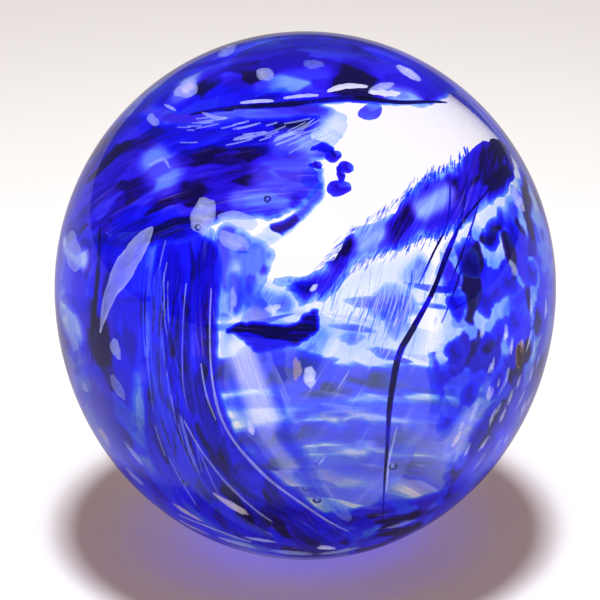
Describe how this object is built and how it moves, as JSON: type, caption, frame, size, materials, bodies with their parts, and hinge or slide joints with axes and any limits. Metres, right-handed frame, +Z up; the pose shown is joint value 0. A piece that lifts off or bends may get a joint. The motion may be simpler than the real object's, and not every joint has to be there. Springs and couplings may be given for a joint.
{
  "type": "glass paperweight",
  "caption": "Round cased-glass paperweight with swirled cobalt and white colour inside a clear ball, on a flat ground base.",
  "frame": {"origin": "centre of the ground flat base, on the surface it stands on", "axes": "+Z up through the crown; the open window in the colour faces -Y; +X is to the right seen from the front"},
  "size_m": [0.076, 0.076, 0.0792],
  "materials": {
    "clear_glass": "clear polished crystal, fire-polished outside, ground and polished flat on the base",
    "cobalt_glass": "deep transparent cobalt colour, streaked and cloudy",
    "navy_glass": "cobalt colour so thick that it looks navy",
    "bright_blue_glass": "thin bright blue colour with lighter streaks",
    "pale_blue_glass": "milky pale blue, stretched white colour over blue",
    "opal_glass": "opal white to lilac-grey chips with soft edges",
    "amber_glass": "small brown fleck"
  },
  "bodies": {
    "root": {"amber_fleck": "amber_glass", "back_band_1": "bright_blue_glass", "back_band_2": "bright_blue_glass", "back_band_3": "bright_blue_glass", "back_band_4": "bright_blue_glass", "back_left_veil": "cobalt_glass", "back_right_veil": "cobalt_glass", "base_collar": "cobalt_glass", "base_wedge": "navy_glass", "blue_frit_01": "cobalt_glass", "blue_frit_02": "cobalt_glass", "blue_frit_03": "cobalt_glass", "blue_frit_04": "cobalt_glass", "blue_frit_05": "cobalt_glass", "blue_frit_06": "cobalt_glass", "blue_frit_07": "cobalt_glass", "blue_frit_08": "cobalt_glass", "blue_frit_09": "cobalt_glass", "blue_frit_10": "cobalt_glass", "blue_frit_11": "cobalt_glass", "blue_frit_12": "cobalt_glass", "blue_frit_13": "cobalt_glass", "clear_casing": "clear_glass", "clear_core": "clear_glass", "crown_fold": "navy_glass", "crown_hanging_chip": "cobalt_glass", "crown_veil": "cobalt_glass", "curtain_fold_left": "bright_blue_glass", "curtain_fold_middle": "navy_glass", "curtain_veil": "cobalt_glass", "diagonal_veil": "cobalt_glass", "left_edge_fold": "navy_glass", "left_veil": "cobalt_glass", "lower_back_veil": "navy_glass", "pale_chip_01": "opal_glass", "pale_chip_02": "opal_glass", "pale_chip_03": "opal_glass", "pale_chip_04": "opal_glass", "pale_chip_05": "opal_glass", "pale_chip_06": "opal_glass", "pale_chip_07": "opal_glass", "pale_chip_08": "opal_glass", "pale_chip_09": "opal_glass", "pale_chip_10": "opal_glass", "pale_chip_11": "opal_glass", "pale_chip_12": "opal_glass", "pale_chip_13": "opal_glass", "pale_chip_14": "opal_glass", "pale_streak": "pale_blue_glass", "pale_veil": "pale_blue_glass", "right_veil": "pale_blue_glass", "sweep_fold": "pale_blue_glass", "trail": "navy_glass", "vee_fold": "navy_glass", "wave_drop_1": "cobalt_glass", "wave_drop_2": "cobalt_glass", "wave_drop_3": "cobalt_glass", "wave_lip": "bright_blue_glass", "wave_veil": "cobalt_glass"}
  },
  "joints": []
}
